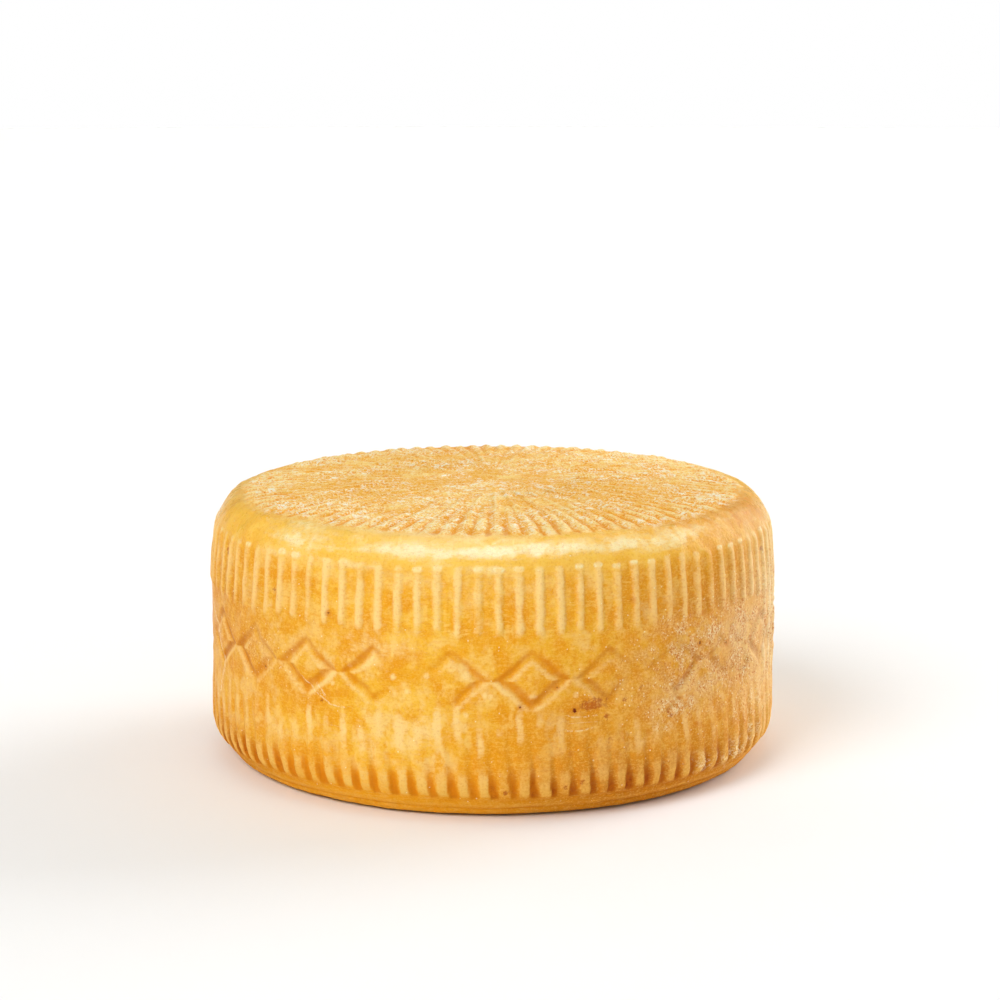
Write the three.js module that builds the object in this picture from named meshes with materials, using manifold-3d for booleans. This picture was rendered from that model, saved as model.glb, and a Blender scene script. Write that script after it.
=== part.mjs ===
// A whole wheel of hard, pressed cheese, 28 cm across and about 13 cm high, as one faceted solid.
//
// The rind carries what the mould leaves on it: a ring of narrow upright ribs under the shoulder, a ring of
// broad ribs that run down the tucked-in foot, a plain belly band between them with a chain of sunk lozenges,
// and fine ridges that radiate over the slightly domed top. The wheel stands on its flat underside.
//
// Millimetres, +Z up. The origin is the centre of the flat underside, and +Z is the wheel's axis.

import * as THREE from "three";
import { mergeVertices } from "three/addons/utils/BufferGeometryUtils.js";
import Module from "manifold-3d";

// Driving dimensions of the wheel.
const BELLY_RADIUS = 139.2; // the side at its widest, between the ribs
const RIM_HEIGHT = 128.8; // where the shoulder meets the top face
const DOME_RISE = 4.5; // how far the middle of the top stands above its rim
const DOME_POWER = 3.5; // how flat the middle is
const FOOT_TUCK = 12.7; // how far the foot lies inside the belly
const FOOT_CURVE_HEIGHT = 40; // how far up the side the foot's curve reaches
const FOOT_CURVE_POWER = 4.75;
const TAPER = 4.6; // the side's long gentle lean towards the top
const TAPER_HEIGHT = 55;
const TAPER_POWER = 1.8;
const SHOULDER = 8; // the short round of the shoulder, on top of that lean
const SHOULDER_HEIGHT = 14;
const SHOULDER_POWER = 2.2;
const OUT_OF_ROUND = 0.35; // how far the hand-turned body strays from a true circle

// The foot's lip: a thin bead at the bottom edge, with a crease above it.
const LIP_HEIGHT = 2.4;
const LIP_RISE = 0.5;
const CREASE_HEIGHT = 4.6;
const CREASE_DEPTH = 0.7;

// The ribs, one of each kind to a step round the wheel.
const RIB_COUNT = 94;
const RIB_PHASE = 0.353; // turns the pattern, in steps
const UPPER_RIBS = { bottom: 85.5, top: 117.3, rise: 1.3, end: 1.4, lean: 0 };
const LOWER_RIBS = { bottom: 9.8, top: 46, rise: 1.9, end: 1.3, lean: 0.33 }; // lean, in steps from top to foot
const NARROW_SECTION = [[0.2, 0], [0.33, 1], [0.67, 1], [0.8, 0]]; // [place in the step, share of the rise]
const BROAD_CREST = 0.54; // a broad rib's crest at its foot, in steps; the grooves narrow upwards
const BROAD_CREST_GAIN = 0.36; // what the crest gains by its top
const END_STAGGER = 0.7; // how far a rib's ends stray from the even line
const RISE_SPREAD = 0.15; // how much the ribs differ in rise

// The top's ridges: every second one stops half way, where the others have drawn close together.
const RIDGE_SECTION = [[0.3, 0], [0.5, 1], [0.7, 0]];
const RIDGE_RISE = 0.9;
const RIDGE_OUTER = 125.4;
const SHORT_RIDGE_INNER = 76;
const LONG_RIDGE_INNER = 36;
const RIDGE_FADE = 3.2; // the length over which a ridge comes up

// The sunk lozenges of the belly band.
const LOZENGE_COUNT = 24;
const LOZENGE_HEIGHT = 30;
const LOZENGE_WIDTH = 34.5;
const LOZENGE_STROKE = 5;
const LOZENGE_DEPTH = 1.1;
const LOZENGE_MIDDLE = 66;

const STEP = (2 * Math.PI) / RIB_COUNT;

/** A repeatable value from -1 to 1 for one rib and one of its traits. */
function uneven(rib, trait) {
  const s = Math.sin((rib + 1) * 12.9898 + trait * 78.233) * 43758.5453;
  return 2 * (s - Math.floor(s)) - 1;
}

/** The share that is left of a curve of the given height and power, at a distance from its start. */
function fall(distance, height, power) {
  return Math.pow(Math.max(0, 1 - distance / height), power);
}

/** The side's radius at a height, between the ribs. */
function sideRadius(z) {
  const below = RIM_HEIGHT - z;
  return (
    BELLY_RADIUS -
    FOOT_TUCK * fall(z, FOOT_CURVE_HEIGHT, FOOT_CURVE_POWER) -
    TAPER * fall(below, TAPER_HEIGHT, TAPER_POWER) -
    SHOULDER * fall(below, SHOULDER_HEIGHT, SHOULDER_POWER)
  );
}

const RIM_RADIUS = sideRadius(RIM_HEIGHT);

/** The top's height at a radius, between the ridges. */
function topHeight(r) {
  return RIM_HEIGHT + DOME_RISE * (1 - Math.pow(r / RIM_RADIUS, DOME_POWER));
}

/** How far the body strays from round at an angle: nothing at the foot, all of it at the belly. */
function outOfRound(angle, z) {
  const share = Math.min(1, z / FOOT_CURVE_HEIGHT);
  return OUT_OF_ROUND * share * (Math.sin(2 * angle + 0.7) + 0.8 * Math.sin(5 * angle + 2.1));
}

/** A point at an angle, radius and height. */
function pointAt(angle, r, z) {
  const round = r + (outOfRound(angle, z) * r) / BELLY_RADIUS;
  return new THREE.Vector3(round * Math.cos(angle), round * Math.sin(angle), z);
}

/**
 * One closed row of points round the wheel.
 * @param {number} count steps in the row
 * @param {number[][]} section [place in the step, share] of each point of a step
 * @param {(step: number, share: number) => number[]} place gives a point's radius and height
 * @param {number} shift turns the row, in steps
 */
function row(count, section, place, shift = 0) {
  const size = (2 * Math.PI) / count;
  const points = [];
  for (let step = 0; step < count; step += 1) {
    for (const [at, share] of section) {
      const angle = (step + at + shift) * size + RIB_PHASE * STEP;
      points.push({ angle, position: pointAt(angle, ...place(step, share)) });
    }
  }
  return points;
}

/** A plain row, with one point to a rib. */
const plainRow = (r, z) => row(RIB_COUNT, [[0, 0]], () => [r, z]);

/**
 * A row across a ring of ribs.
 * @param {object} ribs the ring's sizes
 * @param {number[][]} section one rib's section
 * @param {number} along how far up the ribs the row lies, from 0 to 1
 * @param {number} up the share of the rise that the row shows
 * @param {number} trait picks the row's own unevenness
 */
function ribRow(ribs, section, along, up, trait) {
  const z = ribs.bottom + ribs.end + along * (ribs.top - ribs.bottom - 2 * ribs.end);
  const stagger = along === 0 || along === 1 ? END_STAGGER : 0;
  const place = (rib, share) => {
    const height = z + stagger * uneven(rib, trait);
    return [sideRadius(height) + ribs.rise * up * share * (1 + RISE_SPREAD * uneven(rib, trait + 1)), height];
  };
  return row(RIB_COUNT, section, place, ribs.lean * (1 - along));
}

/** A row across the top's ridges, at a radius. up gives the share of the rise for a step. */
function ridgeRow(count, r, up) {
  return row(count, RIDGE_SECTION, (step, share) => [r, topHeight(r) + RIDGE_RISE * share * up(step)]);
}

/** The rows of the broad ribs, from the crease up to where they die out in the belly band. */
function lowerRibRows() {
  const rows = [[0, 0.9], [0.25, 1], [0.55, 0.6], [0.85, 0.25]];
  return rows.map(([along, up], k) => {
    const half = (BROAD_CREST + BROAD_CREST_GAIN * along) / 2;
    return ribRow(LOWER_RIBS, [[0.5 - half, 1], [0.5 + half, 1], [1, 0]], along, up, 2 * k + 1);
  });
}

/** The rows of the narrow ribs under the shoulder. */
function upperRibRows() {
  const rows = [[0, 0.8], [0.5, 1], [1, 0.9]];
  return rows.map(([along, up], k) => ribRow(UPPER_RIBS, NARROW_SECTION, along, up, 2 * k + 11));
}

/** The rows of the top's ridges, from the rim inwards. */
function topRows() {
  const long = RIB_COUNT / 2;
  const isLong = (step) => (step % 2 === 0 ? 1 : 0);
  return [
    ridgeRow(RIB_COUNT, RIDGE_OUTER - RIDGE_FADE, () => 1),
    ridgeRow(RIB_COUNT, SHORT_RIDGE_INNER + RIDGE_FADE, () => 1),
    ridgeRow(RIB_COUNT, SHORT_RIDGE_INNER, isLong),
    row(long, [[0.15, 0], [0.25, 1], [0.35, 0]], (step, share) => {
      const r = LONG_RIDGE_INNER + RIDGE_FADE;
      return [r, topHeight(r) + RIDGE_RISE * share];
    }),
    row(long, [[0, 0]], () => [LONG_RIDGE_INNER, topHeight(LONG_RIDGE_INNER)]),
  ];
}

/** All rows of the wheel's skin, from the middle of the underside to the middle of the top. */
function wheelRows() {
  const foot = BELLY_RADIUS - FOOT_TUCK;
  const pole = (z) => [{ angle: 0, position: new THREE.Vector3(0, 0, z) }];
  const sideRow = (z, push = 0) => plainRow(sideRadius(z) + push, z);
  return [
    pole(0),
    plainRow(foot, 0),
    sideRow(LIP_HEIGHT, LIP_RISE),
    sideRow(CREASE_HEIGHT, -CREASE_DEPTH),
    sideRow(LOWER_RIBS.bottom),
    ...lowerRibRows(),
    sideRow(LOWER_RIBS.top),
    sideRow(LOZENGE_MIDDLE),
    sideRow(UPPER_RIBS.bottom),
    ...upperRibRows(),
    sideRow(UPPER_RIBS.top),
    sideRow(UPPER_RIBS.top + 0.45 * (RIM_HEIGHT - UPPER_RIBS.top)),
    sideRow(UPPER_RIBS.top + 0.8 * (RIM_HEIGHT - UPPER_RIBS.top)),
    plainRow(RIM_RADIUS, RIM_HEIGHT),
    plainRow(RIDGE_OUTER, topHeight(RIDGE_OUTER)),
    ...topRows(),
    pole(topHeight(0)),
  ];
}

/** Joins two rows, which may hold different numbers of points, with triangles that face out. */
function stitch(lower, upper, triangles) {
  const turn = (points, i) => points[i % points.length].angle + 2 * Math.PI * Math.floor(i / points.length);
  const lowerSteps = lower.length > 1 ? lower.length : 0;
  const upperSteps = upper.length > 1 ? upper.length : 0;
  let i = 0;
  let j = 0;
  while (i < lowerSteps || j < upperSteps) {
    const a = lower[i % lower.length];
    const b = upper[j % upper.length];
    const stepLower = j >= upperSteps || (i < lowerSteps && turn(lower, i + 1) <= turn(upper, j + 1));
    if (stepLower) {
      i += 1;
      triangles.push(a, lower[i % lower.length], b);
    } else {
      j += 1;
      triangles.push(a, upper[j % upper.length], b);
    }
  }
}

/** The wheel's closed skin, before the lozenges are sunk into it. */
function wheelSkin() {
  const rows = wheelRows();
  const triangles = [];
  for (let k = 0; k + 1 < rows.length; k += 1) {
    stitch(rows[k], rows[k + 1], triangles);
  }
  return new THREE.BufferGeometry().setFromPoints(triangles.map((corner) => corner.position));
}

/** A lozenge outline of the given width and height, as a three.js path of four corners. */
function lozengePath(PathClass, width, height) {
  const path = new PathClass();
  path.moveTo(width / 2, 0);
  path.lineTo(0, height / 2);
  path.lineTo(-width / 2, 0);
  path.lineTo(0, -height / 2);
  path.closePath();
  return path;
}

/** The tool that sinks one lozenge's outline: a lozenge ring bent round the belly. */
function lozengeTool(turn) {
  const outline = lozengePath(THREE.Shape, LOZENGE_WIDTH, LOZENGE_HEIGHT);
  const inset = LOZENGE_STROKE * Math.hypot(1 / LOZENGE_WIDTH, 1 / LOZENGE_HEIGHT) * 2;
  const inner = 1 - inset;
  outline.holes.push(lozengePath(THREE.Path, LOZENGE_WIDTH * inner, LOZENGE_HEIGHT * inner));
  const tool = new THREE.ExtrudeGeometry(outline, { depth: LOZENGE_DEPTH * 4, bevelEnabled: false });
  const position = tool.getAttribute("position");
  for (let i = 0; i < position.count; i += 1) {
    const angle = turn + position.getX(i) / BELLY_RADIUS;
    const r = BELLY_RADIUS - LOZENGE_DEPTH + position.getZ(i);
    const bent = pointAt(angle, r, LOZENGE_MIDDLE + position.getY(i));
    position.setXYZ(i, bent.x, bent.y, bent.z);
  }
  return tool;
}

/** A closed three.js geometry as a manifold-3d solid. */
function solidOf(wasm, geometry) {
  const bare = new THREE.BufferGeometry();
  bare.setAttribute("position", geometry.getAttribute("position"));
  if (geometry.index) bare.setIndex(geometry.index);
  const merged = mergeVertices(bare, 1e-4);
  const triVerts = new Uint32Array(merged.index.array);
  return new wasm.Manifold(
    new wasm.Mesh({ numProp: 3, vertProperties: merged.attributes.position.array, triVerts }),
  );
}

/** A manifold-3d solid as a three.js geometry. */
function geometryOf(solid) {
  const { vertProperties, triVerts } = solid.getMesh();
  const geometry = new THREE.BufferGeometry();
  geometry.setAttribute("position", new THREE.BufferAttribute(vertProperties, 3));
  geometry.setIndex(new THREE.BufferAttribute(triVerts, 1));
  geometry.computeVertexNormals();
  return geometry;
}

/** The whole wheel: its skin, with every lozenge sunk into the belly band. */
function cheeseWheel(wasm) {
  let solid = solidOf(wasm, wheelSkin());
  for (let k = 0; k < LOZENGE_COUNT; k += 1) {
    const turn = ((k + 0.5) * 2 * Math.PI) / LOZENGE_COUNT;
    solid = solid.subtract(solidOf(wasm, lozengeTool(turn)));
  }
  const rind = new THREE.MeshStandardMaterial({ color: 0xebac4a, roughness: 0.45, metalness: 0 });
  const wheel = new THREE.Mesh(geometryOf(solid), rind);
  wheel.name = "cheese_wheel";
  return wheel;
}

const wasm = await Module();
wasm.setup();

const cheese = new THREE.Group();
cheese.add(cheeseWheel(wasm));

export default cheese;
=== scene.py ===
"""Dresses a whole ribbed cheese wheel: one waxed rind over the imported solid, on a pale floor in soft light.

The sizes are in millimetres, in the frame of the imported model, and turn into metres where a mesh is made.
"""

import logging
import math
from dataclasses import dataclass, field
from enum import Enum

import bpy
import numpy as np
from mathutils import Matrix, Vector


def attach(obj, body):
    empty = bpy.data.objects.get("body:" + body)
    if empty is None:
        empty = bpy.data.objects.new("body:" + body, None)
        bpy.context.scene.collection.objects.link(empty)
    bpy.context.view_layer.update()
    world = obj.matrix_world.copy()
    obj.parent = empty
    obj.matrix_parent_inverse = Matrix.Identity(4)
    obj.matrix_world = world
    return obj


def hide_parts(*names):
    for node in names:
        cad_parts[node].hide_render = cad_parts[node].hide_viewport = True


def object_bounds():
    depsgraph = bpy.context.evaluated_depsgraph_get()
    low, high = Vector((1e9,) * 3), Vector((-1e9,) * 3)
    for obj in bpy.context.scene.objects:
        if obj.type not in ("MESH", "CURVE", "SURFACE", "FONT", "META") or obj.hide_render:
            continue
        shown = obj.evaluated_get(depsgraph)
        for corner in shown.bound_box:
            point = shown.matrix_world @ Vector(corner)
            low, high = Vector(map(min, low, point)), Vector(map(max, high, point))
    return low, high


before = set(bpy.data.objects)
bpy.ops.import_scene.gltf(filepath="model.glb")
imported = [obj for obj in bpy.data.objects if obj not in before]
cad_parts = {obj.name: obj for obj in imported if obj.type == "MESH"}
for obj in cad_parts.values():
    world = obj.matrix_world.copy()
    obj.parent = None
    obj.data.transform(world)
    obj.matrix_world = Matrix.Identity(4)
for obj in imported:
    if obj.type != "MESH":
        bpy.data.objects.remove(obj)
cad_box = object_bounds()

MM = 0.001
FULL_TURN = 2 * math.pi
FRONT = -math.pi / 2  # the angle of the side that faces the camera
FAR = 9.0  # millimetres from a pit or a scratch at which it no longer shows
SENSOR_WIDTH = 36
WHITE = (1, 1, 1, 1)
EVEN = (1, 1, 1)  # no stretch, or no tint
NODE = "cheese_wheel"
PIECE = "wheel_rind"
BODY = "root"

# Large numbers that scatter the repeatable noise.
RIB_STRIDE = 12.9898
TRAIT_STRIDE = 78.233
SINE_STRETCH = 43758.5453
LATTICE_STRIDES = (374761393, 668265263, 1274126177)
SEED_STRIDE = 97531
LAYER_STRIDE = 101
SCRAMBLERS = (1103515245, 2654435761)

Array = np.ndarray
Socket = bpy.types.NodeSocket
Pair = tuple[float, float]
Triple = tuple[float, float, float]
Colour = tuple[float, float, float, float]
Value = Socket | float
Inputs = dict[str | int, Value | tuple[float, ...]]
log = logging.getLogger(NODE)


class Mark(Enum):
    """What the rind's finish knows about a point of the skin, each a value kept on the mesh."""

    # CREST: pale worn crests, drops and patches, and the painted highlight along the lozenges' lower edges
    CREST = "crest"
    WEAVE = "weave"
    # painted shade in the grooves, creases, lozenge strokes and the top's furrows
    HOLLOW_SHADE = "hollow_shade"
    CROWN = "crown"
    SHOULDER = "shoulder"
    # painted highlight: creamy streaks on the shoulder, strongest at the front, and the narrow ribs' caps
    FROTH_HIGHLIGHT = "froth_highlight"
    # painted shade: darker toward the bottom
    FOOT_SHADE = "foot"
    AGE = "age"
    BLOOM = "bloom"
    # pale rime of the wax, and painted light on the right edge, the shoulder's left end and the top's front
    FROST_AND_HIGHLIGHT = "frost_and_highlight"
    STAIN = "stain"
    PIT = "pit"
    SCRATCH = "scratch"
    CRUMB = "crumb"


# --- small sums ---


def ease(low: float | Array, high: float | Array, x: Array) -> Array:
    """A smooth step from 0 at low to 1 at high."""
    t = np.clip((x - low) / (high - low), 0, 1)
    return t * t * (3 - 2 * t)


def bell(x: Array, width: float) -> Array:
    """A bell that is 1 at nought and falls off over a width."""
    return np.exp(-((x / width) ** 2))


def fall(distance: Array, height: float, power: float) -> Array:
    """The share that is left of a curve of a height and power, at a distance from its start."""
    return np.maximum(0, 1 - distance / height) ** power


def uneven(rib: Array, trait: int) -> Array:
    """A repeatable value from -1 to 1 for one rib and one of its traits."""
    s = np.sin((rib + 1) * RIB_STRIDE + trait * TRAIT_STRIDE) * SINE_STRETCH
    return 2 * (s - np.floor(s)) - 1


def strip(rib: Array, way: Array, strides: Pair) -> Array:
    """Places for a noise that runs on along each rib and differs from one rib to the next."""
    return np.stack([rib * strides[0], way, rib * strides[1]], 1)


def round_axis(angle: Array, radius: Array, height: Array) -> Array:
    """The x, y and z of points that are given by their angle, radius and height."""
    return np.stack([radius * np.cos(angle), radius * np.sin(angle), height], 1)


def paint(red: int, green: int, blue: int) -> Colour:
    """A colour as a screen shows it, from 0 to 255, in the linear values that a shader takes."""
    levels = (v / 255 for v in (red, green, blue))
    return (*(v / 12.92 if v <= 0.04045 else ((v + 0.055) / 1.055) ** 2.4 for v in levels), 1.0)


@dataclass(frozen=True)
class Grain:
    """Smooth repeatable noise in space, from about -1 to 1, with lumps of one size."""

    size: float
    seed: int
    layers: int = 1

    def at(self, points: Array) -> Array:
        """The noise at each point.

        Args:
            points: one row of x, y and z for each point.

        Returns:
            One value for each point.
        """
        total = np.zeros(len(points))
        share = 1.0
        for layer in range(self.layers):
            total += share * self._layer(points * 2**layer / self.size, self.seed + LAYER_STRIDE * layer)
            share *= 0.5
        return total

    def _layer(self, points: Array, seed: int) -> Array:
        """One layer of lattice noise.

        Args:
            points: one row for each point, in steps of the lattice.
            seed: which noise it is.

        Returns:
            One value from -1 to 1 for each point.
        """
        cell = np.floor(points).astype(np.int64)
        t = points - cell
        t = t * t * t * (t * (t * 6 - 15) + 10)
        total = np.zeros(len(points))
        for corner in range(8):
            step = np.array([corner & 1, corner >> 1 & 1, corner >> 2])
            weight = np.prod(np.where(step == 1, t, 1 - t), axis=1)
            total += weight * self._draw(cell + step, seed)
        return total

    @staticmethod
    def _draw(cell: Array, seed: int) -> Array:
        """A repeatable value for each lattice point.

        Args:
            cell: one row of three whole numbers for each lattice point.
            seed: which noise it is.

        Returns:
            One value from -1 to 1 for each.
        """
        mixed = (cell @ np.array(LATTICE_STRIDES) + seed * SEED_STRIDE).astype(np.uint32)
        for shift, scrambler in zip((13, 15), SCRAMBLERS):
            mixed = (mixed ^ (mixed >> np.uint32(shift))) * np.uint32(scrambler)
        mixed = mixed ^ (mixed >> np.uint32(16))
        return mixed.astype(np.float64) / 2**31 - 1


# --- the wheel's form ---


@dataclass
class Skin:
    """Every point of the skin before its relief: one entry to a point in each list."""

    angle: Array
    radius: Array
    height: Array
    travel: Array  # the way along the section from the middle of the underside
    normal: Array  # outward, as radius and height
    inward: Array  # the way from the rim towards the middle of the top, less than nothing below the rim
    under: Array  # 1 on the underside, else 0

    @property
    def spot(self) -> Array:
        """Each point's x, y and z."""
        return round_axis(self.angle, self.radius, self.height)

    @property
    def azimuth(self) -> Array:
        """Each point's angle from the front, in degrees, growing to the right, from -180 to 180."""
        return (np.degrees(self.angle - FRONT) + 180) % 360 - 180

    def turn_from(self, azimuth: float) -> Array:
        """Each point's angle from an azimuth, in degrees, growing to the right, from -180 to 180."""
        return (self.azimuth - azimuth + 180) % 360 - 180


@dataclass(frozen=True)
class WheelForm:
    """The turned body under the relief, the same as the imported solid's."""

    belly_radius: float = 139.2
    rim_height: float = 128.8
    dome_rise: float = 4.5
    dome_power: float = 3.5
    foot_tuck: float = 12.7
    foot_curve_height: float = 40
    foot_curve_power: float = 4.75
    taper: float = 4.6
    taper_height: float = 55
    taper_power: float = 1.8
    shoulder: float = 8
    shoulder_height: float = 14
    shoulder_power: float = 2.2
    out_of_round: float = 0.35
    softness: float = 1.7  # how far the corners of the section are rounded off
    side_points: int = 400
    top_points: int = 300
    step: float = 0.25  # the even step along the finished section

    def side_radius(self, height: Array) -> Array:
        """The side's radius.

        Args:
            height: the heights that are asked for.

        Returns:
            One radius for each.
        """
        below = self.rim_height - height
        return (
            self.belly_radius
            - self.foot_tuck * fall(height, self.foot_curve_height, self.foot_curve_power)
            - self.taper * fall(below, self.taper_height, self.taper_power)
            - self.shoulder * fall(below, self.shoulder_height, self.shoulder_power)
        )

    def top_height(self, radius: Array) -> Array:
        """The top's height at a radius."""
        rim = self.side_radius(np.array(self.rim_height))
        return self.rim_height + self.dome_rise * (1 - (radius / rim) ** self.dome_power)

    def stray(self, angle: Array, height: Array) -> Array:
        """How far the body strays from round at an angle and height."""
        share = np.minimum(1, height / self.foot_curve_height)
        return self.out_of_round * share * (np.sin(2 * angle + 0.7) + 0.8 * np.sin(5 * angle + 2.1))

    def section(self) -> tuple[Array, Array, Array]:
        """The section from the middle of the underside, up the side and over to the middle of the top.

        Returns:
            The way along the section, the radius and the height, at even steps.
        """
        foot = self.belly_radius - self.foot_tuck
        side = np.linspace(0, self.rim_height, self.side_points)
        rim = float(self.side_radius(np.array(self.rim_height)))
        over = np.linspace(rim, 0, self.top_points)
        radius = np.concatenate([[0, foot], self.side_radius(side)[1:], over[1:]])
        height = np.concatenate([[0, 0], side[1:], self.top_height(over)[1:]])
        travel = np.concatenate([[0], np.cumsum(np.hypot(np.diff(radius), np.diff(height)))])
        even = np.arange(0, travel[-1], self.step)
        radius = self._soften(np.interp(even, travel, radius))
        height = self._soften(np.interp(even, travel, height))
        return even, np.maximum(radius, 0), np.maximum(height, 0)

    def _soften(self, values: Array) -> Array:
        """Rounds the section off, keeping its ends.

        Args:
            values: the radius or the height at even steps.

        Returns:
            As many values, rounded off.
        """
        reach = int(3 * self.softness / self.step)
        weights = bell(np.arange(-reach, reach + 1) * self.step, self.softness * math.sqrt(2))
        padded = np.pad(values, reach, mode="reflect", reflect_type="odd")
        return np.convolve(padded, weights / weights.sum(), mode="valid")


@dataclass(frozen=True)
class RibCount:
    """How the ribs share the way round."""

    count: int = 94
    phase: float = 0.353

    def steps(self, angle: Array, shift: float | Array = 0) -> tuple[Array, Array]:
        """Finds the rib at each angle.

        Args:
            angle: the angles that are asked for.
            shift: how many steps the ribs are turned on there.

        Returns:
            The rib's number, and the place in its step from -0.5 to 0.5, with the crest at nought.
        """
        turn = angle * self.count / FULL_TURN - self.phase - shift
        rib = np.floor(turn)
        return np.mod(rib, self.count), turn - rib - 0.5


@dataclass(frozen=True)
class NarrowRibs:
    """The ring of narrow upright ribs under the shoulder."""

    ribs: RibCount = RibCount()
    bottom: float = 85.5
    top: float = 117.3
    rise: float = 1.1
    stagger: float = 0.7
    spread: float = 0.15
    half_width: float = 0.1
    slope: float = 0.16
    rubbed_width: float = 0.3
    wobble: float = 0.035
    cap_height: float = 1.3
    long_from: float = 66  # degrees to the right, where the ribs run faintly on down the belly
    long_to: float = 104
    long_share: float = 0.75
    long_edge: float = 5
    strides: Pair = (7.31, 3.17)

    def shape(self, skin: Skin) -> tuple[Array, Array, Array, Array]:
        """Works the ribs out.

        Args:
            skin: the body's points.

        Returns:
            The relief, and how far each point lies on a crest, on a rib's waxy cap and between ribs.
        """
        z = skin.height
        rib, at = self.ribs.steps(skin.angle)
        along = strip(rib, z, self.strides)
        off = np.abs(at - self.wobble * Grain(6.5, 11, 2).at(along))
        wide = 1 + 0.16 * uneven(rib, 31) + 0.16 * Grain(8, 12).at(along)
        across = 1 - ease(self.half_width * wide, self.half_width * wide + self.slope, off)
        wear_and_highlight = 1 - ease(0.2 * self.rubbed_width * wide, self.rubbed_width * wide, off)
        top = self.top + self.stagger * uneven(rib, 15)
        bottom = self.bottom + 1.4 * self.stagger * uneven(rib, 11)
        start = ease(bottom - 0.8, bottom + 4.2, z)
        length = start * (1 - ease(top - 4.5, top + 0.9, z))
        reach = start * (1 - ease(top - 1.2, top + 0.9, z))
        worn = 1 + self.spread * uneven(rib, 14) + 0.22 * Grain(9, 13).at(along)
        shown = np.clip(0.8 + 0.22 * uneven(rib, 43) + 0.35 * Grain(8, 44, 2).at(along), 0.3, 1)
        notch = 1 - 0.45 * (uneven(rib, 41) > 0.55) * bell(z - top + 3.4, 0.8)
        cap = ease(0.3, 0.16, off) * bell(z - top + self.cap_height, 1)
        cap *= np.clip(uneven(rib, 42) + 0.5, 0, 1)
        between = ease(bottom - 1, bottom + 3, z) * (1 - ease(top - 3, top + 1, z)) * (1 - wear_and_highlight)
        panel = ease(self.long_from, self.long_from + self.long_edge, skin.azimuth)
        panel *= ease(self.long_to, self.long_to - self.long_edge, skin.azimuth)
        run_on = self.long_share * panel * (1 - start) * ease(38, 50, z)
        relief = self.rise * across * (length * notch * worn + run_on) + 0.12 * cap
        return relief, wear_and_highlight * (reach * notch * shown + run_on), cap, between


@dataclass(frozen=True)
class BroadRibs:
    """The ring of broad ribs down the foot, which die out upwards into the belly."""

    ribs: RibCount = RibCount()
    bottom: float = 9.8
    top: float = 46
    rise: float = 1.45
    lean: float = 0.33
    stagger: float = 0.7
    spread: float = 0.15
    half_width: float = 0.19
    slope: float = 0.2
    wobble: float = 0.05
    groove_top: float = 31
    smudge_height: float = 40  # where the ribs' worn upper ends show as pale smudges
    profile: tuple[Pair, ...] = (  # the share of the rise at each height
        (9.8, 0),
        (11.1, 0.9),
        (18.9, 1),
        (28.8, 0.6),
        (39.2, 0.25),
        (46, 0),
    )
    strides: Pair = (5.77, 2.91)

    def shape(self, skin: Skin) -> tuple[Array, Array, Array]:
        """Works the ribs out.

        Args:
            skin: the body's points.

        Returns:
            The relief, how far each point lies on a worn crest, and the painted shadow in the grooves,
            darkest just right of each crest and low down.
        """
        z = skin.height
        along = np.clip((z - self.bottom) / (self.top - self.bottom), 0, 1)
        rib, at = self.ribs.steps(skin.angle, self.lean * (1 - along))
        gap = np.where(at > 0, rib, rib - 1) % self.ribs.count
        beside = strip(rib, z, self.strides)
        drift = self.wobble * Grain(6, 21, 2).at(beside)
        half = self.half_width * (1 + 0.3 * along + 0.12 * uneven(rib, 23) + 0.3 * Grain(5, 25).at(beside))
        off = at - drift
        across = 1 - ease(half, half + self.slope, np.abs(off))
        wear_and_highlight = 1 - ease(half - 0.02, half + 0.6 * self.slope, np.abs(off))
        foot = self.bottom + 0.6 * self.stagger * uneven(rib, 1)
        level = np.interp(z, *zip(*self.profile))
        level *= 0.6 * ease(foot - 0.2, foot + 0.6, z) + 0.4 * ease(foot + 1.2, foot + 4.2, z)
        level *= 1 + self.spread * uneven(rib, 2) + 0.15 * Grain(8, 26).at(beside)
        low = ease(foot + 0.8, foot + 3.4, z) * (1 - ease(19, 28 + 3 * uneven(rib, 24), z))
        patchy = np.clip(0.72 + 0.15 * uneven(rib, 27) + 0.35 * Grain(7, 28, 2).at(beside), 0.3, 0.95)
        smudge = bell(z - self.smudge_height - 5 * uneven(rib, 33), 9) * (1 - ease(0.08, 0.26, np.abs(off)))
        smudge *= np.clip(0.5 + 0.3 * uneven(rib, 34) + 0.5 * Grain(7, 35, 2).at(beside), 0, 0.9)
        crest = np.maximum(wear_and_highlight * low * patchy, smudge)
        end = self.groove_top + 5 * uneven(gap, 22)
        climb = np.clip((z - self.bottom) / (end - self.bottom), 0, 1)
        # painted shadow: a dark wedge on the right of each crest, the side away from the key light, fading
        # upwards
        across_gap = np.where(off > 0, off - half, 1 + off - half) / (1 - 2 * half)
        wedge = ease(-0.02, 0.15, across_gap) * (1 - ease(0.5, 1.15 - 0.45 * climb, across_gap))
        deep = (1 - ease(0.2, 1, climb)) * ease(self.bottom - 0.6, self.bottom + 1.6, z)
        groove_shadow = wedge * deep * (0.9 + 0.15 * uneven(gap, 29))
        return self.rise * across * level, crest, groove_shadow


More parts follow.
